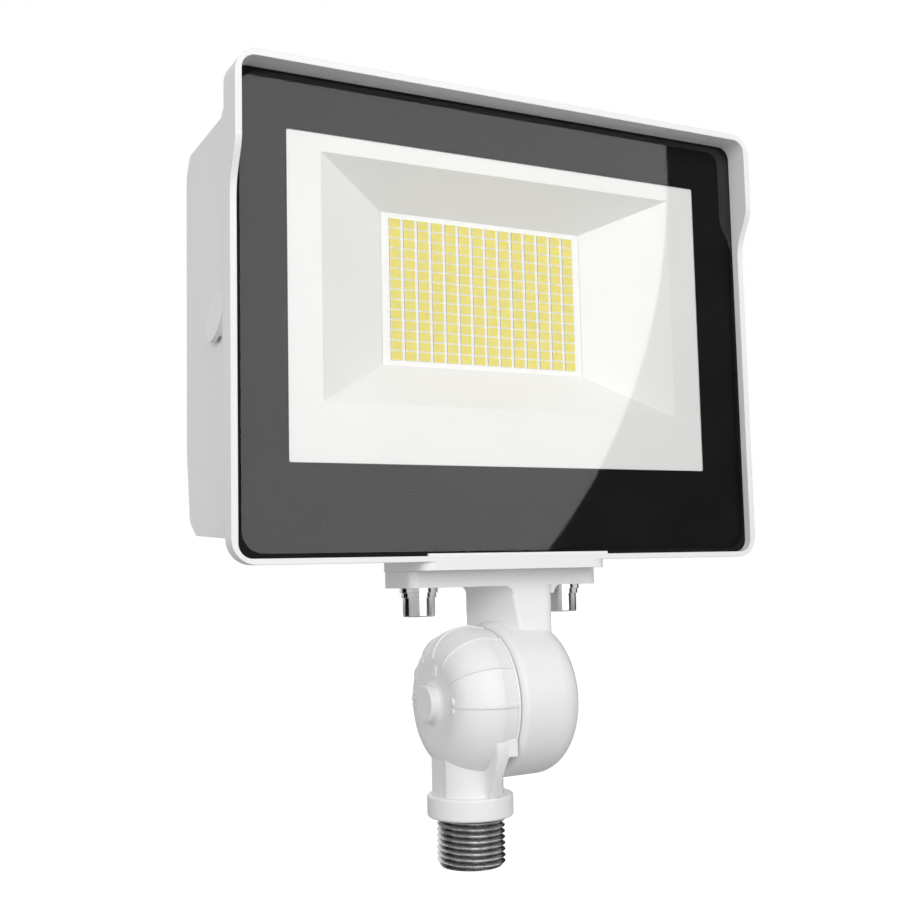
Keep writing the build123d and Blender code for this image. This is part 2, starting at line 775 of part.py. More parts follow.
def frame_side():
    """Side outline of the frame: upright rim, hood on top, and the curve between them."""
    square = lens_middle + hood_square_end
    curve = lens_middle + hood_curve_end
    swoop = Bezier((0, hood_front, square), (0, hood_front + hood_curve_shift, square - hood_curve_lead),
                   (0, frame_front, curve + hood_curve_pull), (0, frame_front, curve))
    rest = Polyline((0, frame_front, curve), (0, frame_front, frame_bottom), (0, frame_back, frame_bottom),
                    (0, frame_back, frame_top), (0, hood_front, frame_top), (0, hood_front, square))
    return make_face([swoop, *rest.edges()])


def make_front_frame():
    left = head_offset - frame_half_width
    side = Pos(left, 0, 0) * extrude(frame_side(), 2 * frame_half_width, dir=(1, 0, 0))
    prism = plate_y(frame_half_width, frame_bottom, frame_top, hood_front, frame_back, frame_corner)
    back_rim = prism.edges().group_by(Axis.Y)[-1]
    prism = fillet(back_rim, frame_wall / 2)
    body = (side & prism) + chin()
    body += plate_y(housing_half_width + rim_flange, housing_bottom - rim_flange, housing_top + rim_flange,
                    frame_back - frame_wall / 2, joint_face, frame_corner)
    body -= plate_y(pocket_half_width, pocket_bottom, pocket_top, hood_front - overrun, ledge_face,
                    pocket_corner)
    ledge_x = window_half_width + ledge_margin
    ledge_low = lens_middle - window_half_height - ledge_margin
    ledge_top = lens_middle + window_half_height + ledge_margin
    body -= plate_y(ledge_x, ledge_low, ledge_top, hood_front, joint_face + overrun)
    body += corner_gussets(ledge_x, ledge_low, ledge_top)
    for x, z in corners(well_x, well_z, cavity_middle):
        body += rod_y(frame_boss_radius, corner_gusset_face, joint_face + frame_boss_height, x, z)
    for x, z in corners(well_x, well_z, cavity_middle):
        body -= rod_y(screw_radius + run_gap, joint_face + frame_boss_height - boss_thread_depth,
                      joint_face + frame_boss_height + overrun, x, z)
    body += box(head_offset - sill_half_width, head_offset + sill_half_width, frame_front + frame_edge,
                glass_front - slip_gap, pocket_bottom - frame_edge, pocket_bottom + sill_height)
    return body


def chin():
    """Lip of the frame that carries the mounting pad's shape through to the front."""
    left = pad_middle - pad_half_width
    right = pad_middle + pad_half_width
    block = box(left, right, frame_front, joint_face, plate_top, pocket_bottom - frame_edge)
    return fillet(block.edges().filter_by(Axis.Z).group_by(Axis.Y)[0], chin_corner)


def corner_gussets(half_width, low, top):
    """Corners behind the ledge that carry the screw bosses and the reflector."""
    rim = plate_y(half_width + overrun, low - overrun, top + overrun, corner_gusset_face, joint_face)
    hole = plate_y(half_width, low, top, corner_gusset_face - overrun, joint_face + overrun, 0,
                   cavity_cut - housing_wall)
    return rim - hole


def make_lens_glass():
    return plate_y(pocket_half_width - glass_gap, pocket_bottom + glass_gap, pocket_top - glass_gap,
                   glass_front, glass_back, glass_corner)


def make_lens_seal():
    """Bed behind the pane's border, with an upstand round the pane's edge."""
    gap = run_gap
    body = plate_y(pocket_half_width - gap, pocket_bottom + gap, pocket_top - gap,
                   glass_front + seal_recess, ledge_face, pocket_corner - gap)
    gap = glass_gap - run_gap
    body -= plate_y(pocket_half_width - gap, pocket_bottom + gap, pocket_top - gap,
                    glass_front, glass_back, glass_corner + run_gap)
    gap = glass_gap + glass_seal_width
    return body - plate_y(pocket_half_width - gap, pocket_bottom + gap, pocket_top - gap,
                          glass_front, ledge_face + overrun)


def tray_loft(front, back, grow=0.0):
    """Four sloped walls between the tray's mouth and the board, grown by a wall thickness."""
    mouth_z = lens_middle + reflector_rise
    mouth = Plane((head_offset, front, mouth_z), x_dir=(1, 0, 0), z_dir=(0, -1, 0))
    floor = Plane((head_offset, back, tray_middle), x_dir=(1, 0, 0), z_dir=(0, -1, 0))
    wide = mouth * Rectangle(2 * (reflector_half_width + grow), 2 * (reflector_half_height + grow))
    narrow = floor * Rectangle(2 * (tray_half_width + grow), 2 * (tray_half_height + grow))
    return loft([narrow, wide], ruled=True)


def make_reflector():
    front = glass_back + slip_gap
    flange_x = window_half_width + ledge_margin - slip_gap
    flange_z = window_half_height + ledge_margin - slip_gap
    flange_back = front + reflector_sheet
    body = plate_y(flange_x, lens_middle - flange_z, lens_middle + flange_z, front, flange_back, 0)
    body += tray_loft(front, board_face, reflector_sheet)
    body -= tray_loft(front, board_face)
    cutter_z = tray_middle
    body -= plate_y(tray_half_width, cutter_z - tray_half_height, cutter_z + tray_half_height,
                    board_face - tray_lip, board_face + overrun)
    return body


def make_led_board():
    board = plate_y(board_half_width, tray_middle - board_half_height, tray_middle + board_half_height,
                    board_face, board_face + board_thickness)
    for x, z in corners(board_screw_x, board_screw_z, tray_middle):
        board -= rod_y(m3_radius + run_gap, board_face - overrun, board_face + board_thickness + overrun, x, z)
    return board


def make_led_chips():
    """Grid of light-emitting packages."""
    chips = []
    for column in range(chip_columns):
        x = head_offset + (column - (chip_columns - 1) / 2) * chip_pitch_x
        for row in range(chip_rows):
            z = tray_middle + (row - (chip_rows - 1) / 2) * chip_pitch_z
            half_x, half_z = chip_width / 2, chip_height / 2
            chips.append(box(x - half_x, x + half_x, board_face - chip_thickness, board_face,
                             z - half_z, z + half_z))
    return chips


def make_thermal_pad():
    back = board_face + board_thickness
    sheet = plate_y(board_half_width, tray_middle - board_half_height, tray_middle + board_half_height,
                    back, back + pad_sheet)
    for x, z in corners(board_screw_x, board_screw_z, tray_middle):
        sheet -= rod_y(m3_radius + screw_clearance, back - overrun, back + pad_sheet + overrun, x, z)
    return sheet


def make_mounting_plate():
    sheet = plate_y(sheet_half_width, cavity_middle - sheet_half_height, cavity_middle + sheet_half_height,
                    sheet_front, sheet_back, 0, sheet_cut)
    for x, z in corners(board_screw_x, board_screw_z, tray_middle):
        sheet -= rod_y(m3_radius + run_gap, sheet_front - overrun, sheet_back + overrun, x, z)
    for x, z in corners(standoff_x, standoff_z, cavity_middle):
        sheet -= rod_y(m3_radius + screw_clearance, sheet_front - overrun, sheet_back + overrun, x, z)
    return sheet


def pan_screw(radius, head_radius, head_height, length, seat, x, z, turn=1):
    """Pan screw along Y: head in front of its seat, or behind it when turn is -1."""
    head_end = seat - turn * head_height
    head = rod_y(head_radius, min(seat, head_end), max(seat, head_end), x, z)
    outer = head.edges().group_by(Axis.Y)[0 if turn > 0 else -1]
    head = chamfer(outer, head_height / 3)
    tip = seat + turn * length
    return head + rod_y(radius, min(seat, tip), max(seat, tip), x, z)


def make_board_screws():
    places = corners(board_screw_x, board_screw_z, tray_middle)
    return [pan_screw(m3_radius, m3_head_radius, m3_head_height, m3_length - overrun, board_face, x, z)
            for x, z in places]


def make_plate_screws():
    places = corners(standoff_x, standoff_z, cavity_middle)
    return [pan_screw(m3_radius, m3_head_radius, m3_head_height, m3_length + sheet_thickness - overrun,
                      sheet_front, x, z) for x, z in places]


def make_frame_screws():
    length = well_seat - joint_face - frame_boss_height + boss_thread_depth - overrun
    return [pan_screw(screw_radius, screw_head_radius, screw_head_height, length, well_seat, x, z, -1)
            for x, z in corners(well_x, well_z, cavity_middle)]


def driver_screw_places():
    reach = driver_width / 2 + driver_ear / 2
    return [(head_offset - reach, cavity_middle), (head_offset + reach, cavity_middle)]


def make_driver_case():
    low = cavity_middle - driver_height / 2
    top = cavity_middle + driver_height / 2
    front = back_wall_face - driver_depth
    case = plate_y(driver_width / 2, low, top, front, back_wall_face, driver_corner)
    case -= plate_y(driver_width / 2 - driver_wall, low + driver_wall, top - driver_wall, front - overrun,
                    front + driver_lid, driver_corner - driver_wall)
    ear = plate_y(driver_width / 2 + driver_ear, cavity_middle - driver_ear / 2, cavity_middle + driver_ear / 2,
                  back_wall_face - driver_ear_thickness, back_wall_face, driver_wall)
    case += ear
    for x, z in driver_screw_places():
        case -= rod_y(m3_radius + screw_clearance, back_wall_face - driver_ear_thickness - overrun,
                      back_wall_face + overrun, x, z)
    return case


def make_driver_lid():
    low = cavity_middle - driver_height / 2
    top = cavity_middle + driver_height / 2
    gap = driver_wall + slip_gap
    front = back_wall_face - driver_depth
    return plate_y(driver_width / 2 - gap, low + gap, top - gap, front, front + driver_lid,
                   driver_corner - gap)


def make_driver_screws():
    seat = back_wall_face - driver_ear_thickness
    length = driver_ear_thickness + back_wall - housing_wall / 4 - slip_gap
    return [pan_screw(m3_radius, m3_head_radius, m3_head_height, length, seat, x, z)
            for x, z in driver_screw_places()]


makers = {
    "nipple": make_nipple,
    "stem_knuckle": make_stem_knuckle,
    "friction_ring": make_friction_ring,
    "swivel_oring": make_swivel_oring,
    "swivel_arm": make_swivel_arm,
    "pivot_bolt": make_pivot_bolt,
    "pivot_lock_washer": make_pivot_lock_washer,
    "pivot_flat_washer": make_pivot_flat_washer,
    "flange_screws": make_flange_screws,
    "flange_lock_washers": make_flange_lock_washers,
    "flange_flat_washers": make_flange_flat_washers,
    "flange_gasket": make_flange_gasket,
    "housing": make_housing,
    "breather_plug": make_breather_plug,
    "front_frame": make_front_frame,
    "frame_gasket": make_frame_gasket,
    "frame_screws": make_frame_screws,
    "lens_glass": make_lens_glass,
    "lens_seal": make_lens_seal,
    "reflector": make_reflector,
    "led_board": make_led_board,
    "led_chips": make_led_chips,
    "board_screws": make_board_screws,
    "thermal_pad": make_thermal_pad,
    "mounting_plate": make_mounting_plate,
    "plate_screws": make_plate_screws,
    "driver_case": make_driver_case,
    "driver_lid": make_driver_lid,
    "driver_screws": make_driver_screws,
}

os.makedirs("parts", exist_ok=True)
for name, maker in makers.items():
    made = maker()
    if isinstance(made, list):
        made = Compound(children=made)
    export_step(made, f"parts/{name}.step")
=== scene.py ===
# %% [markdown]
# # LED flood light on a threaded swivel
# The solids of every part come in ready made, in metres, each at its place. This lesson dresses them:
# it gives each part its finish, adds the forms too fine for the solids, and lights the light itself.

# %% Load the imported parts
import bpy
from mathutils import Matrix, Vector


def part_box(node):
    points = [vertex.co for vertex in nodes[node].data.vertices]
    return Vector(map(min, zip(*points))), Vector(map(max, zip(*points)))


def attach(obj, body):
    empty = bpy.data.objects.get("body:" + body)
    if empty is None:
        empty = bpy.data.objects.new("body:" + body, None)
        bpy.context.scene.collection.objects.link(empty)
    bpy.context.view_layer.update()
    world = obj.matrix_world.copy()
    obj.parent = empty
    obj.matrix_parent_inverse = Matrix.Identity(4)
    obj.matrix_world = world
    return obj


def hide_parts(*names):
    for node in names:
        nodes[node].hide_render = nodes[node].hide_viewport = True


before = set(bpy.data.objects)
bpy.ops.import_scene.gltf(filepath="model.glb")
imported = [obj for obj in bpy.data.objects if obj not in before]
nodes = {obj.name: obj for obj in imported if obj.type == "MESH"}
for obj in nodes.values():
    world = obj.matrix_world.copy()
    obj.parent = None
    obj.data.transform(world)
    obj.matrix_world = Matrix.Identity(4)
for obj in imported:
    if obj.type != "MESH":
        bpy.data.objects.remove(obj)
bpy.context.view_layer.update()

# %% Measure them before anything is added
import math
import bmesh
import bpy
from mathutils import Matrix, Vector


# %% [markdown]
# The sizes below are the ones that the finishes and the added forms need. They are the same as in the
# solids: the light's middle plane stands beside the nipple's axis, and the window is above the hinge.

# %% Places on the light
mm = 0.001
head_x = 9.55 * mm
window_z = 172.05 * mm
window_half_x = 74.25 * mm
window_half_z = 49.15 * mm
hinge_z = 50.15 * mm
glass_back_y = -15.2 * mm
dial_face_x = -12.25 * mm
board_y = 0.8 * mm
print("window's middle", round(head_x, 5), round(window_z, 5))

# %% [markdown]
# ## The camera
# A photograph fixes where the camera stood. Its place and its three axes are written as numbers, so
# that the render lies over the picture. The lens is given for a 36 mm sensor on the long side.

# %% Set the camera
def put_in_scene(name, data):
    """Make an object of some data and link it to the scene."""
    made = bpy.data.objects.new(name, data)
    bpy.context.scene.collection.objects.link(made)
    return made


camera_place = Vector((-186.457, -350.376, 90.587)) * mm
right = Vector((0.888517, -0.458314, -0.022063))
up = Vector((-0.025449, -0.097235, 0.994936))
backward = Vector((-0.458138, -0.883456, -0.098058))
camera_data = bpy.data.cameras.new("camera")
camera_data.lens = 49.6
camera_data.sensor_width = 36
camera_data.clip_start = 0.01
camera_data.clip_end = 50
camera = put_in_scene("camera", camera_data)
turn = Matrix((right, up, backward)).transposed().to_4x4()
camera.matrix_world = Matrix.Translation(camera_place) @ turn
bpy.context.scene.camera = camera
bpy.context.scene.view_settings.view_transform = "Standard"
print("camera at", [round(c, 4) for c in camera.matrix_world.translation])

# %% [markdown]
# ## Helpers for node trees
# Every finish below is a small tree of nodes. Short helpers keep the cells readable: one adds a node
# with its settings, one links a socket to a socket or writes a plain value into it, and three more add
# the kinds of node that come up most, for sums, for noise and for spreading a value over a range.

# %% Helpers for nodes
def add(tree, kind, **settings):
    made = tree.nodes.new(kind)
    for name, value in settings.items():
        setattr(made, name, value)
    return made


def feed(tree, target, source):
    if isinstance(source, bpy.types.NodeSocket):
        tree.links.new(source, target)
    else:
        target.default_value = source


def math_node(tree, operation, first, second=0.0, clamp=False):
    made = add(tree, "ShaderNodeMath", operation=operation, use_clamp=clamp)
    feed(tree, made.inputs[0], first)
    feed(tree, made.inputs[1], second)
    return made.outputs[0]


def noise(tree, vector, scale, detail=2.0, roughness=0.5):
    made = add(tree, "ShaderNodeTexNoise")
    feed(tree, made.inputs["Vector"], vector)
    feed(tree, made.inputs["Scale"], scale)
    feed(tree, made.inputs["Detail"], detail)
    feed(tree, made.inputs["Roughness"], roughness)
    return made.outputs["Fac"]


def spread(tree, value, low, high, to_low=0.0, to_high=1.0):
    made = add(tree, "ShaderNodeMapRange")
    for name, number in (("Value", value), ("From Min", low), ("From Max", high), ("To Min", to_low),
                         ("To Max", to_high)):
        feed(tree, made.inputs[name], number)
    return made.outputs["Result"]


print("helpers ready")

# %% [markdown]
# ## Effects that several finishes share
# Paint, metal and rubber each show some of the same things: a skin that isn't quite flat, a grain that
# runs one way, and dull places left by hands and dust. Each effect is built once as a node group with
# named sockets, and every material sets its own size and strength.

# %% A group with named sockets
def start_group(name, inputs, outputs):
    tree = bpy.data.node_groups.new(name, "ShaderNodeTree")
    for socket, value in inputs.items():
        kind = "NodeSocketVector" if value is None else "NodeSocketFloat"
        made = tree.interface.new_socket(socket, in_out="INPUT", socket_type=kind)
        if value is not None:
            made.default_value = value
    for socket in outputs:
        tree.interface.new_socket(socket, in_out="OUTPUT", socket_type="NodeSocketFloat")
    return tree, add(tree, "NodeGroupInput").outputs, add(tree, "NodeGroupOutput").inputs


print("group starter ready")

# %% The skin of sprayed or moulded surfaces
skin_tree, given, result = start_group(
    "skin_ripple", {"Vector": None, "Ripples per metre": 500.0, "Patches per metre": 25.0},
    ["Height", "Patch"])
speck_fineness = 4.0
speck_share = 0.2
ripple = noise(skin_tree, given["Vector"], given["Ripples per metre"], 2.0, 0.45)
specks = math_node(skin_tree, "MULTIPLY", given["Ripples per metre"], speck_fineness)
speck = noise(skin_tree, given["Vector"], specks, 1.0)
feed(skin_tree, result["Height"], math_node(
    skin_tree, "ADD", ripple, math_node(skin_tree, "MULTIPLY", speck, speck_share)))
patch = noise(skin_tree, given["Vector"], given["Patches per metre"], 3.0, 0.55)
feed(skin_tree, result["Patch"], spread(skin_tree, patch, 0.3, 0.7))
print("group", skin_tree.name)

# %% Grain that runs round or along a metal piece
grain_tree, given, result = start_group(
    "metal_grain", {"Vector": None, "Lines per metre": 4000.0, "Stretch": 30.0}, ["Line", "Wear"])
narrow = add(grain_tree, "ShaderNodeVectorMath", operation="MULTIPLY")
stretch = add(grain_tree, "ShaderNodeCombineXYZ")
along = math_node(grain_tree, "DIVIDE", 1.0, given["Stretch"])
feed(grain_tree, stretch.inputs["X"], along)
feed(grain_tree, stretch.inputs["Y"], along)
stretch.inputs["Z"].default_value = 1.0
feed(grain_tree, narrow.inputs[0], given["Vector"])
feed(grain_tree, narrow.inputs[1], stretch.outputs[0])
lines = noise(grain_tree, narrow.outputs[0], given["Lines per metre"], 3.0, 0.6)
feed(grain_tree, result["Line"], lines)
wear_per_metre = 180.0
wear = noise(grain_tree, given["Vector"], wear_per_metre, 4.0, 0.6)
feed(grain_tree, result["Wear"], spread(grain_tree, wear, 0.42, 0.62))
print("group", grain_tree.name)

# %% Dust that has settled on faces that look up
dust_tree, given, result = start_group("settled_dust", {"Vector": None, "Amount": 0.2}, ["Dust"])
facing = add(dust_tree, "ShaderNodeSeparateXYZ")
feed(dust_tree, facing.inputs[0], add(dust_tree, "ShaderNodeNewGeometry").outputs["Normal"])
upward = spread(dust_tree, facing.outputs["Z"], 0.2, 0.95)
clouds_per_metre = 90.0
cloud = spread(dust_tree, noise(dust_tree, given["Vector"], clouds_per_metre, 5.0, 0.65), 0.35, 0.7)
lying = math_node(dust_tree, "MULTIPLY", upward, cloud)
feed(dust_tree, result["Dust"], math_node(dust_tree, "MULTIPLY", lying, given["Amount"], clamp=True))
print("group", dust_tree.name)

# %% [markdown]
# ## One way to start a material
# A finish starts from Blender's principled shader, with the constants of the surface on its own
# sockets. What varies, such as colour, roughness and the bump, is linked in from the groups. Their
# patterns read the object's own coordinates, so they stay on the piece when the head tilts. Only the
# dust also asks which way is up.

# %% Start a material
class Finish:
    """A material under construction: its tree, its shader and the place on the piece."""

    def __init__(self, name, **constants):
        self.material = bpy.data.materials.new(name)
        self.material.use_nodes = True
        self.tree = self.material.node_tree
        self.shader = self.tree.nodes["Principled BSDF"]
        self.place = add(self.tree, "ShaderNodeTexCoord").outputs["Object"]
        for socket, value in constants.items():
            self.shader.inputs[socket.replace("_", " ")].default_value = value
        print("finish", name)

    def use(self, group, **settings):
        made = add(self.tree, "ShaderNodeGroup", node_tree=group)
        feed(self.tree, made.inputs["Vector"], self.place)
        for socket, value in settings.items():
            made.inputs[socket.replace("_", " ")].default_value = value
        return made.outputs

    def blend(self, amount, first, second):
        made = add(self.tree, "ShaderNodeMix", data_type="RGBA")
        feed(self.tree, made.inputs["Factor"], amount)
        for socket, colour in (("A_Color", first), ("B_Color", second)):
            target = next(s for s in made.inputs if s.identifier == socket)
            feed(self.tree, target, colour if isinstance(colour, bpy.types.NodeSocket) else (*colour, 1))
        return next(s for s in made.outputs if s.identifier == "Result_Color")

    def roughen(self, value, low, high):
        feed(self.tree, self.shader.inputs["Roughness"], spread(self.tree, value, 0.0, 1.0, low, high))

    def colour(self, source):
        feed(self.tree, self.shader.inputs["Base Color"], source)

    def bump(self, height, depth, strength=1.0, edge=0.0):
        made = add(self.tree, "ShaderNodeBump")
        made.inputs["Distance"].default_value = depth
        made.inputs["Strength"].default_value = strength
        feed(self.tree, made.inputs["Height"], height)
        if edge:
            soft = add(self.tree, "ShaderNodeBevel", samples=6)
            soft.inputs["Radius"].default_value = edge
            feed(self.tree, made.inputs["Normal"], soft.outputs["Normal"])
        feed(self.tree, self.shader.inputs["Normal"], made.outputs["Normal"])


print("finishes can be started")

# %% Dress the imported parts
def dress(material, *names):
    """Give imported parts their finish."""
    for name in names:
        nodes[name].data.materials.clear()
        nodes[name].data.materials.append(material)


print("parts can be dressed")

# %% [markdown]
# ## White powder coat on the castings
# The frame, the housing and both halves of the swivel are die-cast aluminium under baked powder. The
# powder flows as it bakes, which leaves a faint orange-peel skin and rounds the casting's edges. A
# bump from the ripple group makes the skin, and the bevel node rounds the edges in the shading.

# %% Powder coat
def powder_coat(name, edge):
    """White powder over cast metal, with its edges rounded off by edge metres in the shading."""
    coat = Finish(name, IOR=1.5, Specular_IOR_Level=0.5)
    peel = coat.use(skin_tree, Ripples_per_metre=420.0, Patches_per_metre=14.0)
    dust = coat.use(dust_tree, Amount=0.22)
    clean = coat.blend(peel["Patch"], (0.835, 0.837, 0.839), (0.865, 0.865, 0.863))
    coat.colour(coat.blend(dust["Dust"], clean, (0.73, 0.72, 0.69)))
    coat.roughen(math_node(coat.tree, "ADD", peel["Patch"], dust["Dust"]), 0.3, 0.46)
    coat.bump(peel["Height"], 0.05 * mm, 0.45, edge=edge)
    return coat.material


coat = powder_coat("white_powder_coat", 0.3 * mm)
fine_coat = powder_coat("white_powder_coat_on_small_forms", 0.08 * mm)
castings = ("front_frame", "housing", "swivel_arm", "stem_knuckle")
dress(coat, *castings)
print("powder coat on", len(castings), "castings")

# %% [markdown]
# ## Zinc-plated steel thread
# The nipple is plain pipe thread in grey zinc. Its colour goes by the distance from the nipple's middle
# line: a painted shade makes it nearly black in the roots, and the crests keep the bright zinc grey.

# %% Zinc-plated steel
zinc = Finish("zinc_plated_steel", Metallic=1.0, IOR=2.0)
cut = zinc.use(grain_tree, Lines_per_metre=3500.0, Stretch=25.0)
flat = add(zinc.tree, "ShaderNodeVectorMath", operation="MULTIPLY")
feed(zinc.tree, flat.inputs[0], zinc.place)
flat.inputs[1].default_value = (1, 1, 0)
away = add(zinc.tree, "ShaderNodeVectorMath", operation="LENGTH")
feed(zinc.tree, away.inputs[0], flat.outputs[0])
# Painted shade in the thread's roots: below this radius the colour darkens to nearly black.
dark_below = 9.5 * mm
bright_above = 10.1 * mm
out_of_root_shade = spread(zinc.tree, away.outputs["Value"], dark_below, bright_above)
plated = zinc.blend(cut["Wear"], (0.54, 0.535, 0.53), (0.63, 0.625, 0.62))
zinc.colour(zinc.blend(out_of_root_shade, (0.07, 0.069, 0.068), plated))
zinc.roughen(cut["Line"], 0.22, 0.33)
zinc.bump(cut["Line"], 0.004 * mm, 0.5)

# %% [markdown]
# A real thread can't be painted on, because its crests show against the light at the nipple's edges.
# Cutting it as a solid is slow, so the surface is laid out as a grid of rings instead: each ring's
# radius rises and falls with the distance to the helix. The lower end is chamfered as it is on
# real pipe, and the bore and the end faces close the tube.

# %% Sizes and profile of the thread
thread_pitch = 1.814 * mm
thread_depth = 1.15 * mm
thread_radius = 10.67 * mm
thread_length = 15.0 * mm
grip_radius = 10.4 * mm
nipple_length = 20.0 * mm
bore_radius = 7.6 * mm
end_chamfer = 1.25 * mm
bore_chamfer_width = 0.5 * mm
bore_chamfer_height = 0.6 * mm
flat_share = 0.55         # of a straight flank in the profile; the rest of it is a soft wave
steps_round = 144
steps_per_turn = 22


def thread_surface(z, angle):
    """Radius of the threaded surface at a height and an angle."""
    turn = (z / thread_pitch + angle / (2 * math.pi)) % 1.0
    slope = abs(2 * turn - 1)
    rounded = 0.5 - 0.5 * math.cos(math.pi * slope)
    cut_in = thread_depth * (flat_share * slope + (1 - flat_share) * rounded)
    lead = max(0.0, end_chamfer - z)
    return min(thread_radius - cut_in, thread_radius - lead)


print("thread of", round(thread_length / thread_pitch, 1), "turns")

# %% Helpers for loops of points
def ring(mesh, z, radius_at):
    angles = [2 * math.pi * step / steps_round for step in range(steps_round)]
    return [mesh.verts.new((radius_at(a) * math.cos(a), radius_at(a) * math.sin(a), z)) for a in angles]


def skin_between(mesh, first, second):
    """Faces from one closed loop of points to the next, in order."""
    count = len(first)
    return [mesh.faces.new((first[k], first[(k + 1) % count], second[(k + 1) % count], second[k]))
            for k in range(count)]


def skin_tube(mesh, loops):
    """Closed tube through the loops, from the first round to the first again."""
    for first, second in zip(loops, loops[1:] + loops[:1]):
        skin_between(mesh, first, second)


print("loop helpers ready")

# %% Lay out the threaded nipple
mesh = bmesh.new()
rings = []
rows = int(thread_length / thread_pitch * steps_per_turn)
for row in range(rows + 1):
    height = thread_length * row / rows
    rings.append(ring(mesh, height, lambda a, z=height: thread_surface(z, a)))
for radius, height in ((grip_radius, thread_length), (grip_radius, nipple_length),
                       (bore_radius, nipple_length), (bore_radius, bore_chamfer_height),
                       (bore_radius + bore_chamfer_width, 0.0)):
    rings.append(ring(mesh, height, lambda a, r=radius: r))
skin_tube(mesh, rings)
bmesh.ops.recalc_face_normals(mesh, faces=mesh.faces)
print("nipple of", len(rings), "rings")

# %% Put the nipple in the scene
def mesh_data(name, mesh, *materials):
    """Turn a bmesh into plain mesh data with its materials."""
    data = bpy.data.meshes.new(name)
    mesh.to_mesh(data)
    mesh.free()
    for material in materials:
        data.materials.append(material)
    return data


def place_data(name, data, body, smooth_angle=None):
    """Put mesh data in the scene as a piece that rides with a body."""
    made = put_in_scene(name, data)
    if smooth_angle is not None:
        for face in data.polygons:
            face.use_smooth = True
        data.set_sharp_from_angle(angle=math.radians(smooth_angle))
    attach(made, body)
    print(name, len(data.polygons), "faces")
    return made


def place_piece(name, mesh, material, body, smooth_angle=None):
    return place_data(name, mesh_data(name, mesh, material), body, smooth_angle)


nipple = place_piece("threaded_nipple", mesh, zinc.material, "base", smooth_angle=62)
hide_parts("nipple")
dress(zinc.material, "nipple")

# %% [markdown]
# ## Polished stainless screws and washers
# The flange screws are bright: they mirror the studio as upright bands. A low roughness does that, and
# very fine turning lines keep the mirror from looking like chrome.

# %% Polished stainless steel
bright = Finish("polished_stainless", Metallic=1.0, IOR=2.5)
turned = bright.use(grain_tree, Lines_per_metre=9000.0, Stretch=40.0)
bright.colour(bright.blend(turned["Wear"], (0.70, 0.70, 0.71), (0.78, 0.78, 0.785)))
bright.roughen(turned["Line"], 0.07, 0.17)
bright.bump(turned["Line"], 0.003 * mm, 0.4, edge=0.15 * mm)
steel_parts = [name for name in nodes if name.endswith("_screws") or name.endswith("washers")]
steel_parts += ["pivot_bolt", "pivot_flat_washer", "pivot_lock_washer"]
dress(bright.material, *steel_parts)
print("steel on", len(steel_parts), "parts")

# %% [markdown]
# ## Tempered glass with a black printed border
# The lens is one flat pane. It is clear in the window, and ceramic ink on its back face blacks out the
# border. The glass keeps a plain transmission. Light has to reach the tray behind it, so for shadow
# rays and diffuse rays the pane is swapped for a transparent shader, the usual way to light what
# stands behind a thin clear pane.

# %% Clear glass
pane = Finish("clear_tempered_glass", IOR=1.5, Transmission_Weight=1.0, Roughness=0.02)
smudge = pane.use(skin_tree, Ripples_per_metre=60.0, Patches_per_metre=22.0)
pane.colour(pane.blend(smudge["Patch"], (0.992, 0.992, 0.988), (0.996, 0.996, 0.993)))
pane.roughen(smudge["Patch"], 0.012, 0.03)
through = add(pane.tree, "ShaderNodeBsdfTransparent")
through.inputs["Color"].default_value = (0.975, 0.974, 0.97, 1)
swap = add(pane.tree, "ShaderNodeMixShader")
rays = add(pane.tree, "ShaderNodeLightPath").outputs
passing = math_node(pane.tree, "MAXIMUM", rays["Is Shadow Ray"], rays["Is Diffuse Ray"])
feed(pane.tree, swap.inputs[0], passing)
feed(pane.tree, swap.inputs[1], pane.shader.outputs[0])
feed(pane.tree, swap.inputs[2], through.outputs[0])
feed(pane.tree, pane.tree.nodes["Material Output"].inputs["Surface"], swap.outputs[0])
dress(pane.material, "lens_glass")

# %% Black ceramic ink
ink = Finish("black_ceramic_ink", IOR=1.5, Specular_IOR_Level=0.0)
screen = ink.use(skin_tree, Ripples_per_metre=2500.0, Patches_per_metre=40.0)
ink.colour(ink.blend(screen["Patch"], (0.010, 0.010, 0.011), (0.014, 0.014, 0.014)))
ink.roughen(screen["Patch"], 0.45, 0.6)
ink.bump(screen["Height"], 0.01 * mm, 0.4)

# %% [markdown]
# The ink is a very thin sheet with a window in it. It lies just inside the pane's back face, so the
# glass still mirrors the studio in front of it. Its outside follows the pane, and its window's corners
# are cut nearly square.

# %% Print the border
def rounded_outline(half_x, half_z, radius, steps=6):
    """Points round a rectangle with rounded corners, anticlockwise."""
    points = []
    for quarter, (side_x, side_z) in enumerate(((1, 1), (-1, 1), (-1, -1), (1, -1))):
        for step in range(steps + 1):
            angle = math.pi / 2 * (quarter + step / steps)
            points.append((side_x * (half_x - radius) + radius * math.cos(angle),
                           side_z * (half_z - radius) + radius * math.sin(angle)))
    return points


pane_low, pane_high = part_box("lens_glass")
pane_x = (pane_low[0] + pane_high[0]) / 2
pane_z = (pane_low[2] + pane_high[2]) / 2
print_inset = 0.05 * mm
print_corner = 6.55 * mm
window_corner = 0.6 * mm
print_front_y = glass_back_y - 0.05 * mm
print_back_y = glass_back_y - 0.02 * mm
outer = [(pane_x + x, pane_z + z) for x, z in rounded_outline(
    (pane_high[0] - pane_low[0]) / 2 - print_inset, (pane_high[2] - pane_low[2]) / 2 - print_inset,
    print_corner)]
inner = [(head_x + x, window_z + z) for x, z in rounded_outline(
    window_half_x, window_half_z, window_corner)]
mesh = bmesh.new()
sheets = []
for y in (print_front_y, print_back_y):
    sheets.append(([mesh.verts.new((x, y, z)) for x, z in outer],
                   [mesh.verts.new((x, y, z)) for x, z in inner]))
(front_out, front_in), (back_out, back_in) = sheets
skin_tube(mesh, [front_out, front_in, back_in, back_out])
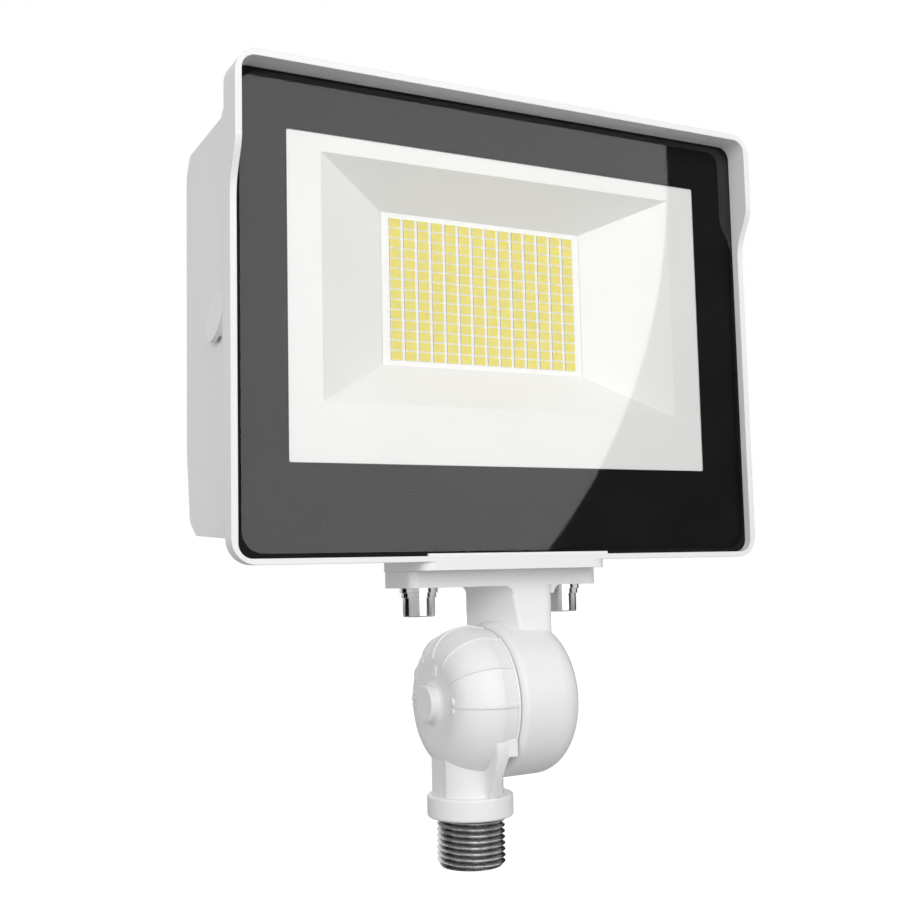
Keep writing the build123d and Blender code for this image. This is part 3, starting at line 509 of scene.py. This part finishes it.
bmesh.ops.recalc_face_normals(mesh, faces=mesh.faces)
place_piece("printed_border", mesh, ink.material, "head")

# %% [markdown]
# ## The white reflector tray
# It is a satin moulding, very slightly warm, that throws the light of the chips forwards. A fine
# texture left by the mould keeps its walls from shining.

# %% Moulded tray
tray = Finish("white_moulded_tray", IOR=1.46)
mould = tray.use(skin_tree, Ripples_per_metre=1100.0, Patches_per_metre=20.0)
tray.colour(tray.blend(mould["Patch"], (0.775, 0.775, 0.767), (0.81, 0.81, 0.804)))
tray.roughen(mould["Patch"], 0.38, 0.5)
tray.bump(mould["Height"], 0.02 * mm, 0.35, edge=0.3 * mm)
dress(tray.material, "reflector")

# %% Solder mask on the board
mask = Finish("white_solder_mask", IOR=1.5)
film = mask.use(skin_tree, Ripples_per_metre=1600.0, Patches_per_metre=60.0)
mask.colour(mask.blend(film["Patch"], (0.815, 0.815, 0.805), (0.845, 0.845, 0.835)))
mask.roughen(film["Patch"], 0.3, 0.42)
mask.bump(film["Height"], 0.008 * mm, 0.3)
dress(mask.material, "led_board")

# %% [markdown]
# ## Yellow light-emitting packages
# Each package is a small white case filled with silicone that holds yellow phosphor. Its left and right
# sides get a darker olive copy of the phosphor, a painted shade for the shadow on them. One package is
# modelled once, with its rim and its slightly sunk filling. A grid of nearly two hundred is work for
# Geometry Nodes: points on a grid, one package on each, then real faces.

# %% Phosphor and its case
gel = Finish("phosphor_gel", IOR=1.42, Specular_IOR_Level=0.15)
grain = gel.use(skin_tree, Ripples_per_metre=5000.0, Patches_per_metre=350.0)
gel.colour(gel.blend(grain["Patch"], (0.67, 0.57, 0.025), (0.74, 0.635, 0.05)))
gel.roughen(grain["Patch"], 0.28, 0.42)
gel.bump(grain["Height"], 0.006 * mm, 0.5)
# Painted shade: a darker olive copy of the phosphor, for the shadow on the packages' left and right sides.
flank = Finish("phosphor_in_painted_shade_at_the_sides", IOR=1.42, Specular_IOR_Level=0.25)
shaded_side_ripple = flank.use(skin_tree, Ripples_per_metre=5000.0, Patches_per_metre=350.0)
flank.colour(flank.blend(shaded_side_ripple["Patch"], (0.24, 0.20, 0.006), (0.30, 0.25, 0.010)))
flank.roughen(shaded_side_ripple["Patch"], 0.4, 0.55)
flank.bump(shaded_side_ripple["Height"], 0.006 * mm, 0.4)
case = Finish("white_package", IOR=1.5)
grit = case.use(skin_tree, Ripples_per_metre=4000.0, Patches_per_metre=300.0)
case.colour(case.blend(grit["Patch"], (0.86, 0.86, 0.83), (0.90, 0.90, 0.88)))
case.roughen(grit["Patch"], 0.4, 0.55)
case.bump(grit["Height"], 0.004 * mm, 0.4)

# %% Model one package
package_x = 3.88 * mm
package_z = 2.99 * mm
rim_y = -0.45 * mm
filling_y = -0.42 * mm
case_slot, gel_slot, painted_shade_slot = 0, 1, 2
corner_signs = ((1, 1), (-1, 1), (-1, -1), (1, -1))
mesh = bmesh.new()
loops = []
for inset, y in ((0.0, 0.0), (0.0, filling_y), (0.03 * mm, rim_y), (0.06 * mm, rim_y),
                 (0.09 * mm, filling_y)):
    loops.append([mesh.verts.new((a * (package_x / 2 - inset), y, b * (package_z / 2 - inset)))
                  for a, b in corner_signs])
# The package's left and right side walls take the painted shade; its other walls stay white.
for band, (first, second) in enumerate(zip(loops, loops[1:])):
    for step, wall in enumerate(skin_between(mesh, first, second)):
        wall.material_index = painted_shade_slot if band == 0 and step % 2 else case_slot
mesh.faces.new(loops[0])
filling = mesh.faces.new(loops[-1])
filling.material_index = gel_slot
bmesh.ops.recalc_face_normals(mesh, faces=mesh.faces)
package_data = mesh_data("package", mesh, case.material, gel.material, flank.material)
package = put_in_scene("package", package_data)
print("one package", len(package_data.polygons), "faces")

# %% Geometry Nodes: the inputs of the grid
chip_grid = bpy.data.node_groups.new("chip_grid", "GeometryNodeTree")
chip_grid.interface.new_socket("Geometry", in_out="INPUT", socket_type="NodeSocketGeometry")
grid_inputs = {}
for label, kind in (("Columns", "NodeSocketInt"), ("Rows", "NodeSocketInt"),
                    ("Column pitch", "NodeSocketFloat"), ("Row pitch", "NodeSocketFloat"),
                    ("Middle", "NodeSocketVector"), ("Package", "NodeSocketObject"),
                    ("Seed", "NodeSocketInt")):
    made = chip_grid.interface.new_socket(label, in_out="INPUT", socket_type=kind)
    grid_inputs[label] = made.identifier
chip_grid.interface.new_socket("Geometry", in_out="OUTPUT", socket_type="NodeSocketGeometry")
source = add(chip_grid, "NodeGroupInput").outputs
target = add(chip_grid, "NodeGroupOutput").inputs
print("grid inputs", ", ".join(grid_inputs))

# %% Geometry Nodes: the grid of packages
def span(count, pitch):
    less = math_node(chip_grid, "SUBTRACT", count, 1.0)
    return math_node(chip_grid, "MULTIPLY", less, pitch)


points = add(chip_grid, "GeometryNodeMeshGrid")
feed(chip_grid, points.inputs["Size X"], span(source["Columns"], source["Column pitch"]))
feed(chip_grid, points.inputs["Size Y"], span(source["Rows"], source["Row pitch"]))
feed(chip_grid, points.inputs["Vertices X"], source["Columns"])
feed(chip_grid, points.inputs["Vertices Y"], source["Rows"])
stand = add(chip_grid, "GeometryNodeTransform")
feed(chip_grid, stand.inputs["Geometry"], points.outputs["Mesh"])
feed(chip_grid, stand.inputs["Translation"], source["Middle"])
stand.inputs["Rotation"].default_value = (math.pi / 2, 0, 0)
pick = add(chip_grid, "GeometryNodeObjectInfo")
feed(chip_grid, pick.inputs["Object"], source["Package"])
most_tilt = Vector((0.004, 0.008, 0.004))
tilt = add(chip_grid, "FunctionNodeRandomValue", data_type="FLOAT_VECTOR")
tilt.inputs["Min"].default_value = -most_tilt
tilt.inputs["Max"].default_value = most_tilt
feed(chip_grid, next(s for s in tilt.inputs if s.name == "Seed"), source["Seed"])
lay = add(chip_grid, "GeometryNodeInstanceOnPoints")
feed(chip_grid, lay.inputs["Points"], stand.outputs["Geometry"])
feed(chip_grid, lay.inputs["Instance"], pick.outputs["Geometry"])
feed(chip_grid, lay.inputs["Rotation"], tilt.outputs[0])
real = add(chip_grid, "GeometryNodeRealizeInstances")
feed(chip_grid, real.inputs["Geometry"], lay.outputs["Instances"])
paint = add(chip_grid, "GeometryNodeSetMaterial")
filled = add(chip_grid, "GeometryNodeInputMaterialIndex")
is_gel = add(chip_grid, "FunctionNodeCompare", data_type="INT", operation="EQUAL")
feed(chip_grid, next(s for s in is_gel.inputs if s.identifier == "A_INT"), filled.outputs[0])
next(s for s in is_gel.inputs if s.identifier == "B_INT").default_value = gel_slot
feed(chip_grid, paint.inputs["Geometry"], real.outputs["Geometry"])
feed(chip_grid, paint.inputs["Selection"], is_gel.outputs[0])
paint.inputs["Material"].default_value = gel.material
feed(chip_grid, target["Geometry"], paint.outputs["Geometry"])
print("grid tree with", len(chip_grid.nodes), "nodes")

# %% Make the grid real faces
def baked_by_nodes(name, tree, values):
    """Run a Geometry Nodes tree on an empty mesh and give back the plain mesh that it makes."""
    carrier = put_in_scene(name + "_carrier", bpy.data.meshes.new(name + "_carrier"))
    modifier = carrier.modifiers.new(name, "NODES")
    modifier.node_group = tree
    for identifier, value in values.items():
        modifier[identifier] = value
    carrier.update_tag()
    bpy.context.view_layer.update()
    evaluated = carrier.evaluated_get(bpy.context.evaluated_depsgraph_get())
    data = bpy.data.meshes.new_from_object(evaluated)
    bpy.data.objects.remove(carrier)
    data.name = name
    return data


chip_low, chip_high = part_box("led_chips")
chip_settings = {
    "Columns": 14, "Rows": 14, "Column pitch": 4.98 * mm, "Row pitch": 3.29 * mm, "Package": package,
    "Seed": 7, "Middle": (head_x, board_y, (chip_low[2] + chip_high[2]) / 2)}
chip_data = baked_by_nodes("phosphor_grid", chip_grid, {
    grid_inputs[label]: value for label, value in chip_settings.items()})
bpy.data.objects.remove(package)
chips = place_data("phosphor_packages", chip_data, "head")
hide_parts("led_chips")
dress(gel.material, "led_chips")

# %% [markdown]
# ## Rubber, sheet metal and plastics
# The parts that a closed light hides still get their own finishes: seals in moulded rubber, a milled
# heat plate, a soft thermal pad, and the driver's case. One function makes all the moulded ones, and
# only their colours, roughness and ripple differ.

# %% Moulded rubber and plastic
def moulded(name, dark, pale, low, high, ripples, depth, **constants):
    """Finish between two colours and two roughnesses, with a ripple of the given depth."""
    made = Finish(name, **constants)
    skin = made.use(skin_tree, Ripples_per_metre=ripples, Patches_per_metre=30.0)
    made.colour(made.blend(skin["Patch"], dark, pale))
    made.roughen(skin["Patch"], low, high)
    made.bump(skin["Height"], depth, 0.5)
    return made.material


black_silicone = moulded("black_silicone", (0.003, 0.003, 0.003), (0.006, 0.006, 0.006),
                         0.6, 0.75, 700.0, 0.03 * mm, Specular_IOR_Level=0.15)
grey_silicone = moulded("grey_silicone", (0.17, 0.17, 0.175), (0.21, 0.21, 0.215),
                        0.5, 0.68, 700.0, 0.03 * mm)
black_rubber = moulded("black_rubber", (0.011, 0.011, 0.011), (0.02, 0.02, 0.02),
                       0.48, 0.66, 900.0, 0.03 * mm)
black_plastic = moulded("black_nylon", (0.015, 0.015, 0.015), (0.024, 0.024, 0.024),
                        0.38, 0.52, 1300.0, 0.015 * mm)
driver_plastic = moulded("white_driver_case", (0.72, 0.72, 0.71), (0.78, 0.78, 0.77),
                         0.4, 0.55, 1500.0, 0.02 * mm)
wearers = {black_silicone: ["lens_seal"], grey_silicone: ["frame_gasket", "thermal_pad"],
           black_rubber: ["swivel_oring", "flange_gasket"], black_plastic: ["friction_ring", "breather_plug"],
           driver_plastic: ["driver_case", "driver_lid"]}
for material, names in wearers.items():
    dress(material, *names)
print("moulded finishes", len(wearers))

# %% Milled aluminium
milled = Finish("milled_aluminium", Metallic=1.0, IOR=1.4)
mill = milled.use(grain_tree, Lines_per_metre=5000.0, Stretch=50.0)
milled.colour(milled.blend(mill["Wear"], (0.76, 0.77, 0.78), (0.82, 0.825, 0.83)))
milled.roughen(mill["Line"], 0.26, 0.44)
milled.bump(mill["Line"], 0.006 * mm, 0.5)
dress(milled.material, "mounting_plate")

# %% [markdown]
# ## Raised numbers on the dial
# The swivel's dome carries cast numbers at its marks: 0 at the top, for the upright head, and 90 at
# the front and the back, for the head laid over level. They are text curves, given a little depth and
# turned to mesh, and then placed so that their tops point away from the hinge. They wear the casting's
# powder coat, with its edges rounded less.

# %% Cast the numbers
number_size = 5.4 * mm
number_height = 0.8 * mm
number_bevel = 0.08 * mm
number_swell = 0.02 * mm


def raised_number(text, around, radius):
    """Number on the dome's flat face; around is its angle from the top, towards the light's front."""
    curve = bpy.data.curves.new("number", "FONT")
    curve.body = text
    curve.size = number_size
    curve.align_x = "CENTER"
    curve.align_y = "CENTER"
    curve.extrude = number_height / 2
    curve.bevel_depth = number_bevel
    curve.bevel_resolution = 1
    curve.offset = number_swell
    holder = put_in_scene("number", curve)
    bpy.context.view_layer.update()
    data = bpy.data.meshes.new_from_object(holder.evaluated_get(bpy.context.evaluated_depsgraph_get()))
    bpy.data.objects.remove(holder)
    facing = Matrix(((0, 0, -1), (-1, 0, 0), (0, 1, 0))).to_4x4()
    about = Matrix.Rotation(around, 4, "X")
    data.transform(about @ Matrix.Translation((0, 0, radius)) @ facing)
    data.transform(Matrix.Translation((dial_face_x, 0, hinge_z)))
    return data


# Text, degrees from the top towards the front, and distance from the hinge in millimetres
dial_marks = (("0", 9, 9.7), ("90", 90, 11.9), ("90", -90, 11.9))
numbers = bmesh.new()
for text, degrees, radius in dial_marks:
    numbers.from_mesh(raised_number(text, math.radians(degrees), radius * mm))
place_piece("dial_numbers", numbers, fine_coat, "base", smooth_angle=40)

# %% [markdown]
# ## The feet of the dial's end blocks
# At each end of the dial's edge line the casting has a small block, and the metal under it runs down
# into the gusset in one slope, so that the part comes out of its die. The solids have the block and
# the gusset; the slope between them is laid over both as four outlines with straight skin between.

# %% Model the feet
# Each outline in millimetres: its two sides in x, how far it reaches out, where it starts, its height
foot_outlines = ((-1.35, 3.0, 20.45, 13.0, 39.3), (-1.35, 2.9, 20.45, 12.0, 34.6),
                 (-0.6, 2.8, 17.0, 9.0, 29.3), (0.1, 2.75, 13.0, 7.0, 21.4))
foot_round = 0.45 * mm


def block_foot(side):
    """Slope from the block down to the collar; side is -1 at the front and 1 at the back."""
    mesh = bmesh.new()
    rings = []
    for x0, x1, reach, root, z in foot_outlines:
        corners = ((x0, root), (x0, reach), (x1, reach), (x1, root))
        rings.append([mesh.verts.new((x * mm, side * y * mm, z * mm)) for x, y in corners])
    for first, second in zip(rings, rings[1:]):
        skin_between(mesh, first, second)
    mesh.faces.new(rings[0])
    mesh.faces.new(rings[-1])
    outer = [mesh.edges.get((a[k], b[k])) for a, b in zip(rings, rings[1:]) for k in (1, 2)]
    bmesh.ops.bevel(mesh, geom=outer, offset=foot_round, segments=4, affect="EDGES", profile=0.5)
    bmesh.ops.recalc_face_normals(mesh, faces=mesh.faces)
    return mesh


for side, name in ((-1, "front_block_foot"), (1, "back_block_foot")):
    place_piece(name, block_foot(side), coat, "base", smooth_angle=35)

# %% [markdown]
# ## The studio
# The picture has a plain white ground and one big round soft light in front, to the right. Its round
# edge shows as a curve in the black glass, so its place was worked out from that curve: mirrored in
# the pane, the curve lies on one circle. A dark flag stands behind it, as in a studio, and gives the
# glass and the polished screws something dark to mirror. Two more dark cards, to the sides and
# behind, draw the dark edges that round polished metal has in a studio. Two plain fills, which no
# mirror shows, lift the shaded side and the back.

# %% The round soft light
soft_place = Vector((0.175, -1.5, 0.846))
soft_radius = 1.052
soft_brightness = 2.22
disc = bpy.data.lights.new("round_softbox", "AREA")
disc.shape = "DISK"
disc.size = 2 * soft_radius
disc.energy = soft_brightness * math.pi * math.pi * soft_radius ** 2
softbox = put_in_scene("round_softbox", disc)
softbox.matrix_world = Matrix.Translation(soft_place) @ Matrix.Rotation(math.radians(90), 4, "X")
softbox.visible_camera = False
print("softbox energy", round(disc.energy, 1))

# %% Two plain fills, low at the front left and high at the back
lamp_middle = Vector((head_x, 0, 0.12))


def fill(name, place, size, brightness):
    """Square soft light that looks at the middle of the lamp and can't be seen in mirrors."""
    light = bpy.data.lights.new(name, "AREA")
    light.shape = "SQUARE"
    light.size = size
    light.energy = brightness * math.pi * size ** 2
    made = put_in_scene(name, light)
    aim = lamp_middle - Vector(place)
    made.matrix_world = Matrix.Translation(place) @ aim.to_track_quat("-Z", "Y").to_matrix().to_4x4()
    made.visible_camera = False
    made.visible_glossy = False
    print(name, round(light.energy, 1))


fill("front_left_fill", place=(-1.5, -0.9, 0.25), size=1.4, brightness=2.45)
fill("back_fill", place=(0.7, 1.9, 0.9), size=1.8, brightness=2.2)

# %% Dark cards: the flag and one at each side
def card(name, corners, material):
    mesh = bmesh.new()
    mesh.faces.new([mesh.verts.new(c) for c in corners])
    made = put_in_scene(name, mesh_data(name, mesh, material))
    print("card", made.name)
    return made


felt = Finish("black_felt", Base_Color=(0.004, 0.004, 0.004, 1), Roughness=1.0,
              Specular_IOR_Level=0.0).material
flag_left, flag_right, flag_y, flag_top = 0.2, 2.0, -1.52, 1.5
flag = card("dark_flag", [(flag_left, flag_y, 0.0), (flag_right, flag_y, 0.0),
                          (flag_right, flag_y, flag_top), (flag_left, flag_y, flag_top)], felt)
flag.visible_camera = False
card_aside, card_front, card_back, card_top = 0.75, 0.15, 0.95, 1.1
for side in (-1, 1):
    x = side * card_aside
    edge_card = card("edge_card", [(x, card_front, 0.0), (x, card_back, 0.0),
                                   (x, card_back, card_top), (x, card_front, card_top)], felt)
    edge_card.visible_camera = False
    edge_card.visible_diffuse = False
    edge_card.visible_shadow = False

# %% [markdown]
# The world is white to the camera at a strength of one, which is paper white. The floor glows a little
# less and keeps a share of plain diffuse grey, which the studio lights up to white, so the light's
# shadow still falls on it.

# %% Floor
floor_reach = 4
floor_z = -0.0002
floor_glow = 0.93
floor_grey = 0.30
bounce_grey = 0.5
paper = bpy.data.materials.new("white_paper")
paper.use_nodes = True
tree = paper.node_tree
tree.nodes.remove(tree.nodes["Principled BSDF"])
seen = add(tree, "ShaderNodeLightPath")
lit = add(tree, "ShaderNodeBsdfDiffuse")
lit.inputs["Color"].default_value = (floor_grey, floor_grey, floor_grey, 1)
glow = add(tree, "ShaderNodeEmission")
glow.inputs["Color"].default_value = (1, 1, 1, 1)
glow.inputs["Strength"].default_value = floor_glow
both = add(tree, "ShaderNodeAddShader")
feed(tree, both.inputs[0], lit.outputs[0])
feed(tree, both.inputs[1], glow.outputs[0])
plain = add(tree, "ShaderNodeBsdfDiffuse")
plain.inputs["Color"].default_value = (bounce_grey, bounce_grey, bounce_grey, 1)
choose = add(tree, "ShaderNodeMixShader")
feed(tree, choose.inputs[0], math_node(
    tree, "MAXIMUM", seen.outputs["Is Camera Ray"], seen.outputs["Is Transmission Ray"]))
feed(tree, choose.inputs[1], plain.outputs[0])
feed(tree, choose.inputs[2], both.outputs[0])
feed(tree, tree.nodes["Material Output"].inputs["Surface"], choose.outputs[0])
card("paper_floor", [(a * floor_reach, b * floor_reach, floor_z)
                     for a, b in ((-1, -1), (1, -1), (1, 1), (-1, 1))], paper)

# %% World
world = bpy.data.worlds.new("white_room")
world.use_nodes = True
bpy.context.scene.world = world
tree = world.node_tree
ambient = 0.32
seen = add(tree, "ShaderNodeLightPath")
direct = math_node(tree, "MAXIMUM", seen.outputs["Is Camera Ray"], math_node(
    tree, "MAXIMUM", seen.outputs["Is Glossy Ray"], seen.outputs["Is Transmission Ray"]))
feed(tree, tree.nodes["Background"].inputs["Strength"], spread(tree, direct, 0.0, 1.0, ambient, 1.0))
tree.nodes["Background"].inputs["Color"].default_value = (1, 1, 1, 1)
print("world ambient", ambient)
